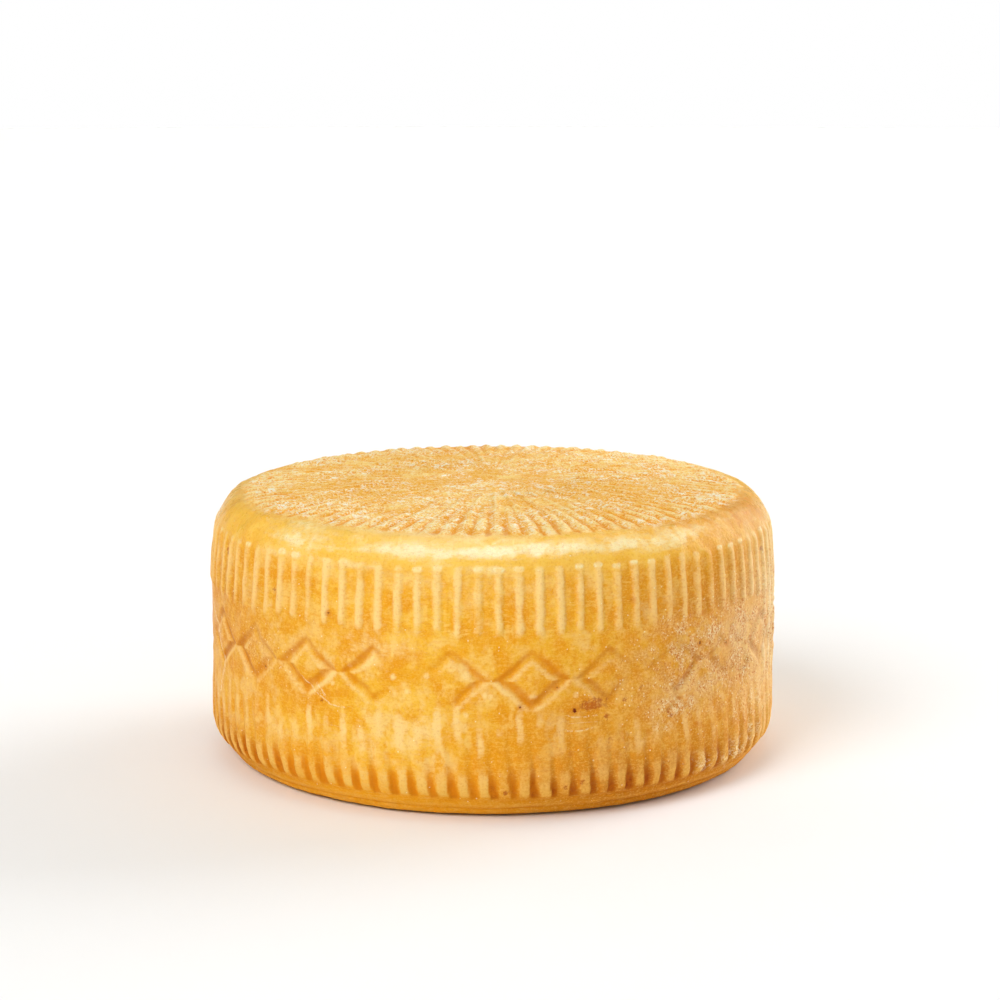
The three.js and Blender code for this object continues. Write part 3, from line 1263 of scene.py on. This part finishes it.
@dataclass(frozen=True)
class RindFinish:
    """The waxed, aged rind: golden, paler where it is worn, with painted shade in its hollows and toward its
    bottom, and a painted highlight on its shoulder.
    """

    gold: Colour = paint(248, 191, 56)
    amber: Colour = paint(240, 168, 34)
    cream: Colour = paint(253, 220, 144)
    ember: Colour = paint(236, 156, 14)
    deep: Colour = paint(242, 168, 18)
    pale: Colour = paint(252, 208, 108)
    # foot, old_foot and worn_foot: darker colours toward the bottom, painted shade
    foot: Colour = paint(246, 170, 24)
    old_foot: Colour = paint(186, 100, 0)
    worn: Colour = paint(254, 218, 142)
    worn_foot: Colour = paint(244, 194, 90)
    # sunk and old_sunk: the painted shade in the hollows, browner where aged
    sunk: Colour = paint(220, 130, 4)
    old_sunk: Colour = paint(176, 88, 0)
    rust: Colour = paint(206, 108, 0)
    # umber: grime laid in the deepest painted shade, where aged
    umber: Colour = paint(150, 56, 0)
    tan: Colour = paint(204, 122, 14)
    buff: Colour = paint(222, 146, 38)
    honey: Colour = paint(252, 205, 86)
    # the painted highlight's cream
    froth_highlight: Colour = paint(252, 236, 182)
    dust: Colour = paint(232, 174, 108)
    chalk: Colour = paint(253, 230, 184)
    salt: Colour = paint(255, 240, 196)
    crust: Colour = paint(255, 220, 128)
    crust_gold: Colour = paint(248, 182, 44)
    crust_crest: Colour = paint(255, 228, 154)
    # crust_dark: the painted shade in the top's furrows, and its dark grains
    crust_dark: Colour = paint(242, 158, 22)
    # crust_pale: pale grains on the top, heaviest where the painted glints lie
    crust_pale: Colour = paint(255, 250, 232)
    bruise: Colour = paint(184, 90, 24)
    pit: Colour = paint(112, 30, 2)
    subsurface: float = 0.06
    subsurface_radius: Triple = (1.0, 0.5, 0.2)
    subsurface_scale: float = 2.5
    ior: float = 1.45
    specular: float = 0.12

    def make(self) -> bpy.types.Material:
        """Builds the material.

        Returns:
            The finished material.
        """
        recipe = RindRecipe(self)
        coat = recipe.wax()
        recipe.brush(coat)
        recipe.wear_and_shade(coat)
        coat.lay(recipe.marks[Mark.CROWN], recipe.crust().colour)
        recipe.sprinkle(coat)
        inputs = {
            "Base Color": coat.colour,
            "Roughness": recipe.roughness(),
            "Normal": recipe.normal(),
            "Subsurface Weight": self.subsurface,
            "Subsurface Radius": self.subsurface_radius,
            "Subsurface Scale": self.subsurface_scale * MM,
            "IOR": self.ior,
            "Specular IOR Level": self.specular,
        }
        return recipe.dress(inputs)


class RindRecipe(Recipe):
    """The rind's material in the making: its layers, and the marks and noises that they share."""

    def __init__(self, tones: RindFinish) -> None:
        """Adds what the layers share.

        Args:
            tones: the rind's colours.
        """
        super().__init__("rind_wax")
        self.tones = tones
        self.marks = {mark: self.mark(mark) for mark in Mark}
        self.fleck = self.noise(1.5, 3, 0.7)
        self.ragged = self.sum("SUBTRACT", self.fleck, 0.5)
        self.speck = self.noise(1.1, 3, 0.8)
        self.weave = self.noise(1.5, 3, 0.65, (0.35, 0.35, 1.3))
        self.strokes = self.sum("SUBTRACT", self.weave, 0.5)
        self.mottle = self.noise(6.5, 4, 0.62, (1, 1, 0.7))
        self.grit = self.noise(4.4, 6, 0.82)
        self.line = self.sum("ABSOLUTE", self.marks[Mark.SCRATCH])
        self.open_wax = self.span(self.marks[Mark.HOLLOW_SHADE], 0.1, 0.8, 1, 0.15)
        self.powder = self.times(self.marks[Mark.BLOOM], self.span(self.noise(7, 5, 0.75), 0.4, 0.58))
        self.grainy = self.scaled(self.powder, 0.9, self.scaled(self.marks[Mark.AGE], 0.14, 0.2))

    def wax(self) -> Coat:
        """The wax: gold and amber in broad clouds, marbled with deeper and with creamy places, darker toward
        the bottom as painted shade, with a painted highlight on the shoulder.

        Returns:
            The coat so far.
        """
        tones, shoulder, age = self.tones, self.marks[Mark.SHOULDER], self.marks[Mark.AGE]
        clouds = self.span(self.noise(38, 3, 0.55), 0.4, 0.62)
        coat = Coat(self, self.blend(clouds, tones.gold, tones.amber))
        marble = self.noise(17, 3, 0.6)
        coat.lay(self.span(marble, 0.5, 0.37, 0, 0.9), tones.ember)
        coat.lay(self.span(marble, 0.51, 0.66, 0, 0.7), tones.cream)
        coat.lay(self.span(self.mottle, 0.5, 0.36, 0, 0.9), tones.deep)
        coat.lay(self.span(self.mottle, 0.5, 0.66, 0, 0.8), tones.pale)
        aged = self.blend(self.span(self.mottle, 0.38, 0.64), tones.tan, tones.buff)
        coat.lay(self.times(age, 0.8), aged)
        # painted shade: the wax darker and deeper toward the bottom
        foot = self.blend(age, tones.foot, tones.old_foot)
        coat.lay(self.times(self.marks[Mark.FOOT_SHADE], 0.85), foot)
        coat.lay(self.times(shoulder, self.scaled(age, -1.3, 0.95)), tones.honey)
        # painted highlight: creamy streaks laid pale over the shoulder
        froth_highlight = self.scaled(self.ragged, 0.4, self.sum("ADD", self.strokes, self.marks[Mark.FROTH_HIGHLIGHT]))
        coat.lay(self.times(self.span(froth_highlight, 0.08, 1.0, 0, 0.95), shoulder), tones.froth_highlight)
        return coat

    def brush(self, coat: Coat) -> None:
        """Lays on the fine strokes left by the brush that waxed it.

        Args:
            coat: the coat that they go over.
        """
        layers = ((0.5, 0.64, 0.6, self.tones.ember), (0.48, 0.36, 0.45, self.tones.pale))
        for low, high, most, tone in layers:
            strokes = self.span(self.weave, low, high, 0, most)
            coat.lay(self.times(self.marks[Mark.WEAVE], strokes), tone)

    def wear_and_shade(self, coat: Coat) -> None:
        """Wears the crests pale, with the lozenges' painted highlight, lays painted shade in the hollows with
        grime in their deepest parts, and adds stains and pale rime that is partly painted light.

        Args:
            coat: the coat that this goes over.
        """
        tones, age = self.tones, self.marks[Mark.AGE]
        streaky = self.scaled(self.strokes, 1.2, self.marks[Mark.CREST])
        # worn crests laid pale, with the lozenges' painted highlight
        wear_and_highlight = self.span(self.scaled(self.ragged, 0.8, streaky), 0.04, 1.0, 0, 0.95)
        worn = self.blend(self.marks[Mark.FOOT_SHADE], tones.worn, tones.worn_foot)
        coat.lay(wear_and_highlight, self.blend(self.times(age, 0.5), worn, tones.buff))
        # painted shade in the hollows, browner where aged
        sunk = self.scaled(self.ragged, 0.4, self.marks[Mark.HOLLOW_SHADE])
        hollow_shade_colour = self.blend(self.span(age, 0.1, 0.85), tones.sunk, tones.old_sunk)
        coat.lay(self.span(sunk, 0.05, 1.0, 0, 0.9), hollow_shade_colour)
        # grime where the painted shade is deepest, where aged
        shade_and_dirt = self.times(self.span(sunk, 0.7, 1.05), self.span(self.noise(4, 3, 0.7), 0.45, 0.62))
        coat.lay(self.times(shade_and_dirt, age), tones.umber)
        bruise = self.scaled(self.ragged, 2.2, self.marks[Mark.STAIN])
        coat.lay(self.span(bruise, 0.3, 0.9, 0, 0.85), tones.bruise)
        # pale rime, partly painted light at the edges
        rime = self.times(self.marks[Mark.FROST_AND_HIGHLIGHT], self.span(self.mottle, 0.3, 0.6, 0.6, 1))
        coat.lay(rime, tones.chalk)

    def crust(self) -> Coat:
        """The grainy crust of the top.

        Returns:
            The crust's own coat.
        """
        tones = self.tones
        clouds = self.span(self.noise(15, 4, 0.65), 0.42, 0.6)
        coat = Coat(self, self.blend(clouds, tones.crust_gold, tones.crust))
        coat.lay(self.times(self.marks[Mark.AGE], 0.9), tones.crust_gold)
        crest = self.scaled(self.ragged, 0.6, self.marks[Mark.CREST])
        coat.lay(self.span(crest, 0.1, 0.9, 0, 0.9), tones.crust_crest)
        # painted shade in the top's furrows
        hollow_shade = self.scaled(self.ragged, 0.6, self.marks[Mark.HOLLOW_SHADE])
        coat.lay(self.span(hollow_shade, 0.1, 0.9, 0, 0.85), tones.crust_dark)
        coat.lay(self.span(self.grit, 0.47, 0.37, 0, 0.85), tones.crust_dark)
        # pale grains, and painted glints heaviest at the top's front
        cold = self.span(self.noise(26, 2, 0.5), 0.42, 0.6, 0.3, 1)
        frost_and_highlight = self.times(self.sum("MAXIMUM", cold, self.marks[Mark.FROST_AND_HIGHLIGHT]), self.open_wax)
        coat.lay(self.times(self.span(self.grit, 0.53, 0.58), frost_and_highlight), tones.crust_pale)
        coat.lay(self.span(self.speck, 0.45, 0.37, 0, 0.7), tones.crust_dark)
        coat.lay(self.times(self.span(self.speck, 0.54, 0.59), frost_and_highlight), tones.crust_pale)
        return coat

    def sprinkle(self, coat: Coat) -> None:
        """Adds dust, salt, crumbs, scratches and pits.

        Args:
            coat: the coat that they go over.
        """
        tones = self.tones
        coat.lay(self.powder, tones.dust)
        gritty = self.scaled(self.powder, 0.3, self.grainy)
        coat.lay(self.times(gritty, self.span(self.speck, 0.46, 0.38)), tones.rust)
        bright = self.times(self.times(self.grainy, self.open_wax), self.span(self.speck, 0.54, 0.6))
        coat.lay(bright, self.blend(self.powder, tones.pale, tones.chalk))
        crystals = self.spots(1.1, 0.34, self.times(self.powder, 0.65), 0.5)
        coat.lay(self.times(crystals, 0.75), tones.salt)
        crumb = self.times(self.marks[Mark.CRUMB], self.span(self.speck, 0.45, 0.55))
        coat.lay(self.times(crumb, 0.9), tones.salt)
        salty = self.spots(3.5, 0.34, self.scaled(self.marks[Mark.AGE], 0.2, 0.12), 0.6)
        coat.lay(self.times(salty, 0.7), tones.salt)
        cut = self.times(self.span(self.line, 0.5, 0.1), self.span(self.fleck, 0.4, 0.56))
        coat.lay(self.times(cut, 0.6), tones.chalk)
        near = self.scaled(self.ragged, 1.6, self.marks[Mark.PIT])
        coat.lay(self.span(near, 2.0, 0.0, 0, 0.5), tones.rust)
        coat.lay(self.span(near, 0.2, -0.25), tones.pit)

    def roughness(self) -> Socket:
        """How rough the rind is: waxy sides, a shinier shoulder, a dry top.

        Returns:
            The roughness.
        """
        rough = self.span(self.noise(9, 3, 0.6), 0.35, 0.65, 0.36, 0.5)
        for mark, more in ((Mark.SHOULDER, -0.14), (Mark.CROWN, 0.35), (Mark.BLOOM, 0.2), (Mark.FOOT_SHADE, 0.3)):
            rough = self.scaled(self.marks[mark], more, rough)
        return rough

    def normal(self) -> Socket:
        """The grain in the surface, fine everywhere, coarse on the top and in the dust.

        Returns:
            The bumped normal.
        """
        coarse = self.scaled(self.marks[Mark.BLOOM], 0.3, self.marks[Mark.CROWN])
        fine = self.times(self.speck, self.sum("ADD", self.grainy, 0.15))
        strokes = self.times(self.weave, self.marks[Mark.WEAVE])
        scratch = self.span(self.line, 0.6, 0.0)
        normal = self.bump(self.times(self.grit, coarse), 0.7)
        for height, reach in ((fine, 0.6), (strokes, 0.3), (self.mottle, 0.8), (scratch, 0.12)):
            normal = self.bump(height, reach, normal)
        return normal


@dataclass(frozen=True)
class FloorFinish:
    """A plain pale floor with the faintest tooth."""

    colour: Colour = (0.89, 0.9, 0.93, 1)
    shade: float = 0.985  # how much of the colour is left in its darker clouds
    cloud: float = 60
    roughness: float = 0.8

    def make(self) -> bpy.types.Material:
        """Builds the material.

        Returns:
            The finished material.
        """
        recipe = Recipe("floor_paint")
        darker = tuple(self.shade * v for v in self.colour[:3]) + (1,)
        colour = recipe.blend(recipe.noise(self.cloud, 3), self.colour, darker)
        return recipe.dress({"Base Color": colour, "Roughness": self.roughness})


# --- the pieces ---


def put_in_scene(name: str, data: bpy.types.ID) -> bpy.types.Object:
    """Puts a mesh, a light or a camera in the scene.

    Args:
        name: the name of its object.
        data: the mesh, light or camera.

    Returns:
        The object.
    """
    piece = bpy.data.objects.new(name, data)
    bpy.context.scene.collection.objects.link(piece)
    return piece


@dataclass
class CheeseWheel:
    """The whole wheel: its turned body, what the mould pressed into it, and its rind."""

    form: WheelForm = field(default_factory=WheelForm)
    rows: Rows = field(default_factory=Rows)
    narrow_ribs: NarrowRibs = field(default_factory=NarrowRibs)
    broad_ribs: BroadRibs = field(default_factory=BroadRibs)
    lip: Lip = field(default_factory=Lip)
    lozenges: Lozenges = field(default_factory=Lozenges)
    ridges: Ridges = field(default_factory=Ridges)
    finish: RindFinish = field(default_factory=RindFinish)
    lump: float = 0.4
    shoulder_lump: float = 0.6
    crust_grain: float = 0.32
    stain_depth: float = 0.2
    streak: Triple = (30, 30, 5)  # the stretch of the creamy streaks that carry the shoulder's painted highlight
    under_relief: float = 0.55

    def relief(self, skin: Skin) -> tuple[Array, dict[Mark, Array]]:
        """What stands proud of the turned body, or lies sunk in it.

        Args:
            skin: the body's points.

        Returns:
            The relief at each point, and every mark of the finish.
        """
        spot = skin.spot
        blemishes = Blemishes(self.form.belly_radius)
        side = 1 - skin.under
        edge = skin.inward + 1.8 * Grain(17, 71, 2).at(spot) + 1.2 * Grain(5, 72).at(spot)
        crown = ease(-1.8, 1.4, edge)
        crusted = ease(-1.5, 9, edge)
        narrow, narrow_crest, cap, between = self.narrow_ribs.shape(skin)
        broad, broad_crest, groove_shadow = self.broad_ribs.shape(skin)
        lip, crease, rubbed_line = self.lip.shape(skin)
        lozenge, shade_and_dirt, wear_and_highlight = self.lozenges.shape(skin, self.form.belly_radius)
        ridge, ridge_crest, furrow = self.ridges.shape(skin)
        grain = self.crust_grain * (Grain(2.6, 81, 2).at(spot) + 0.7 * Grain(8, 82, 2).at(spot))
        pit = blemishes.pit_distance(skin)
        stain = blemishes.stained(skin)
        drop = blemishes.dropped(skin)
        dent, rim = blemishes.dented(skin)
        crumbly = blemishes.cover(blemishes.crumbs, skin) * side
        lumpy = ease(0, 0.45, Grain(2.3, 91, 2).at(spot) + 0.5 * broad_crest)
        crumb = np.maximum(crumbly, 0.8 * rim * side) * lumpy
        dusty = blemishes.cover(blemishes.dust, skin) * side
        shoulder = ease(107, 121.5, skin.height) * side
        # painted highlight: creamy streaks on the shoulder, strongest toward the front, with the listed
        # patches and the caps
        streaks = Grain(1, 76, 3).at(spot / np.array(self.streak))
        froth_highlight = np.clip(0.2 + 0.5 * streaks, 0, 1) * ease(70, 25, np.abs(skin.azimuth + 4))
        froth_highlight += blemishes.cover(blemishes.froth_highlight, skin)
        lumps = self.shoulder_lump * shoulder * (Grain(14, 74, 2).at(spot) - 0.3)
        waves = self.lump * (0.5 * Grain(23, 1, 2).at(spot) + 0.28 * Grain(6, 2, 2).at(spot) - 0.55)
        on_side = (narrow + broad + lozenge) * side + lip + 0.7 * crumb + 0.25 * drop
        on_side += 0.4 * dusty * Grain(3.4, 96, 2).at(spot) - self.stain_depth * stain + dent
        on_side -= 0.2 * (1 - ease(-0.6, 0.5, pit)) * side
        on_top = (ridge - 0.5 * furrow) * ease(0.5, 6, edge) + 0.75 * grain * crusted - 0.2
        beneath = self.under_relief * (0.5 * ridge_crest + 0.35 * grain - 0.75)
        inner_under = skin.under * ease(0, 6, self.form.belly_radius - self.form.foot_tuck - skin.radius)
        relief = (waves + lumps + on_side) * (1 - crown) * side + crown * on_top
        relief += inner_under * np.minimum(beneath, 0)
        crown_all = np.maximum(crusted, inner_under)
        age = blemishes.cover(blemishes.brown, skin) * side
        plain = (1 - crown_all) * side
        pale = blemishes.cover(blemishes.wear_and_highlight, skin) * np.clip(1 + Grain(6, 78, 3).at(spot), 0, 1.6)
        # pale worn places, with the lozenges' painted highlight along their lower edges
        crest = np.clip(narrow_crest + broad_crest + 0.8 * wear_and_highlight + drop + rubbed_line + pale, 0, 1)
        # painted shade: the shadow wedges in the broad ribs' grooves, the lip's creases and the lozenges'
        # strokes and upper edges; darker between the narrow ribs where aged
        hollow_shade = np.clip(groove_shadow + 0.85 * crease + np.minimum(shade_and_dirt, 0.7) + 0.5 * age * between, 0, 1)
        # where the pale rime and its painted light show most: on crests and the top
        frost_highlight_share = np.clip(0.5 + 0.8 * narrow_crest + crown, 0, 1)
        marks = {
            Mark.CREST: crest * plain + crown * ridge_crest,
            Mark.WEAVE: (0.6 + 0.4 * between) * plain * (1 - 0.6 * shoulder),
            Mark.HOLLOW_SHADE: hollow_shade * plain + crown * furrow,
            Mark.CROWN: crown_all,
            Mark.SHOULDER: np.clip(shoulder + 0.9 * cap * side, 0, 1),
            Mark.FROTH_HIGHLIGHT: np.clip(froth_highlight * (0.8 + 0.4 * Grain(4, 77, 2).at(spot)) + 1.3 * cap, 0, 1) * side,
            # painted shade, darker toward the bottom
            Mark.FOOT_SHADE: (1 - ease(9, 34, skin.height)) * side,
            Mark.AGE: age,
            Mark.BLOOM: np.clip(dusty * (0.85 + 0.5 * Grain(11, 95, 3).at(spot)), 0, 1),
            Mark.FROST_AND_HIGHLIGHT: blemishes.cover(blemishes.frost_and_highlight, skin) * frost_highlight_share * side,
            Mark.STAIN: np.maximum(stain, blemishes.cover(blemishes.smears, skin) * side),
            Mark.PIT: pit,
            Mark.SCRATCH: blemishes.scratch_distance(skin),
            Mark.CRUMB: crumb,
        }
        return relief, marks

    def build(self) -> bpy.types.Object:
        """Makes the wheel's mesh and dresses it.

        Returns:
            The finished piece.
        """
        grid = SkinGrid(self.form, self.rows)
        skin = grid.skin
        relief, marks = self.relief(skin)
        radius = skin.radius + relief * skin.normal[:, 0]
        height = skin.height + relief * skin.normal[:, 1]
        radius *= 1 + self.form.stray(skin.angle, height) / self.form.belly_radius
        points = round_axis(skin.angle, radius, np.maximum(height, 0)) * MM
        low, high = (np.array(corner) for corner in cad_box)
        past = np.stack([low - points.min(0), points.max(0) - high]) / MM
        log.info("reach past the solid, less than nothing inside: %s", np.round(past, 3).tolist())
        mesh = self.mesh(grid, points, marks)
        mesh.materials.append(self.finish.make())
        log.info("%s: %d points, %d faces", PIECE, len(points), len(mesh.polygons))
        return put_in_scene(PIECE, mesh)

    def mesh(self, grid: SkinGrid, points: Array, marks: dict[Mark, Array]) -> bpy.types.Mesh:
        """Makes the wheel's mesh.

        Args:
            grid: the rows of points.
            points: each point's place.
            marks: what the finish knows about each point.

        Returns:
            The mesh, with its marks and its flat pattern.
        """
        totals, corner_points, corner_angles = grid.faces()
        mesh = bpy.data.meshes.new(PIECE)
        mesh.vertices.add(len(points))
        mesh.vertices.foreach_set("co", points.ravel())
        mesh.loops.add(len(corner_points))
        mesh.loops.foreach_set("vertex_index", corner_points)
        mesh.polygons.add(len(totals))
        mesh.polygons.foreach_set("loop_start", np.concatenate([[0], np.cumsum(totals)[:-1]]))
        flat = FlatPattern().lay(grid, corner_points, corner_angles, totals)
        mesh.uv_layers.new(name="OFBake").data.foreach_set("uv", flat.ravel())
        for mark, values in marks.items():
            kept = mesh.attributes.new(mark.value, "FLOAT", "POINT").data
            kept.foreach_set("value", values.astype(np.float32))
        mesh.polygons.foreach_set("use_smooth", np.ones(len(totals), dtype=bool))
        mesh.update()
        mesh.validate()
        return mesh


@dataclass(frozen=True)
class Lamp:
    """A large soft lamp, so far away that it lights every place alike."""

    name: str
    azimuth: float  # degrees from the front, to the right
    lift: float  # degrees above the floor
    breadth: float  # how wide it looks, in degrees
    strength: float
    tone: Triple = EVEN
    lights: bool = True  # whether it lights what it falls on
    shines: bool = True  # whether it shows as a gloss


@dataclass
class Studio:
    """The floor, the lights and the camera."""

    floor_reach: float = 9.0
    floor_sides: int = 64
    floor_drop: float = 0.0002  # how far under the wheel it lies, so that the two don't meet
    camera_place: Triple = (0.00385, -1.2, 0.3464)
    camera_drop: float = 10.58  # degrees that the camera looks down
    camera_lens: float = 88.5
    world_tone: Colour = (1, 0.96, 0.84, 1)  # the light that the surroundings throw
    world_light: float = 0.36
    world_gloss: float = 0.08
    world_shown: float = 1.0
    lamp_distance: float = 2.0
    lamps: tuple[Lamp, ...] = (
        Lamp("key", -40, 42, 32, 1.74),
        Lamp("fill", 90, 25, 80, 0.46, shines=False),
        Lamp("right_rear", 125, 20, 40, 1.85),
        Lamp("left_rear", -112, 24, 50, 0.22, (1, 0.86, 0.5)),
        Lamp("back", 180, 35, 60, 0.5, shines=False),
        Lamp("overhead", -12, 82, 34, 11.0, lights=False),
    )

    def floor(self) -> bpy.types.Object:
        """Lays a large round floor, level with the wheel's underside.

        Returns:
            The floor.
        """
        mesh = bpy.data.meshes.new("floor")
        turn = np.arange(self.floor_sides) * FULL_TURN / self.floor_sides
        ring = [(self.floor_reach * math.cos(a), self.floor_reach * math.sin(a), 0.0) for a in turn]
        mesh.from_pydata(ring, [], [tuple(range(self.floor_sides))])
        mesh.materials.append(FloorFinish().make())
        piece = put_in_scene("floor", mesh)
        piece.location.z = -self.floor_drop
        return piece

    def lamp(self, lamp: Lamp) -> None:
        """Hangs a large soft lamp far away.

        Args:
            lamp: the lamp.
        """
        light = bpy.data.lights.new(lamp.name, "SUN")
        light.energy = lamp.strength
        light.color = lamp.tone
        light.angle = math.radians(lamp.breadth)
        piece = put_in_scene(lamp.name, light)
        turn, lift = math.radians(lamp.azimuth), math.radians(lamp.lift)
        towards = Vector((math.sin(turn) * math.cos(lift), -math.cos(turn) * math.cos(lift), math.sin(lift)))
        piece.location = towards * self.lamp_distance
        piece.rotation_euler = towards.to_track_quat("Z", "Y").to_euler()
        piece.visible_diffuse = lamp.lights
        piece.visible_glossy = lamp.shines

    def lights(self) -> None:
        """The pale surroundings, which light the wheel less than they show, and the lamps."""
        world = bpy.data.worlds.new("studio")
        world.use_nodes = True
        graph = Graph(world.node_tree)
        path = graph.node("ShaderNodeLightPath").outputs
        tone = graph.blend(path["Is Camera Ray"], self.world_tone, WHITE)
        inputs = {"Value": path["Is Glossy Ray"], "To Min": self.world_light, "To Max": self.world_gloss}
        unseen = graph.node("ShaderNodeMapRange", inputs).outputs[0]
        inputs = {"Value": path["Is Camera Ray"], "To Min": unseen, "To Max": self.world_shown}
        strength = graph.node("ShaderNodeMapRange", inputs).outputs[0]
        background = graph.tree.nodes["Background"].inputs
        graph.feed(background["Color"], tone)
        graph.feed(background["Strength"], strength)
        bpy.context.scene.world = world
        for lamp in self.lamps:
            self.lamp(lamp)
        bpy.context.scene.view_settings.view_transform = "Standard"

    def camera(self) -> None:
        """The camera, at the height and distance of someone at the table."""
        data = bpy.data.cameras.new("camera")
        data.lens = self.camera_lens
        data.sensor_width = SENSOR_WIDTH
        piece = put_in_scene("camera", data)
        piece.location = self.camera_place
        piece.rotation_euler = (math.radians(90 - self.camera_drop), 0, 0)
        bpy.context.scene.camera = piece


def main() -> None:
    """Builds the studio and the wheel, and says what rides on what."""
    studio = Studio()
    studio.camera()
    studio.lights()
    studio.floor()
    rind = CheeseWheel().build()
    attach(rind, BODY)
    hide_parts(NODE)
    log.info("%s rides on %s and stands for %s", rind.name, BODY, NODE)


if __name__ == "__main__":
    logging.basicConfig(level=logging.INFO, format="%(name)s: %(message)s")
    main()
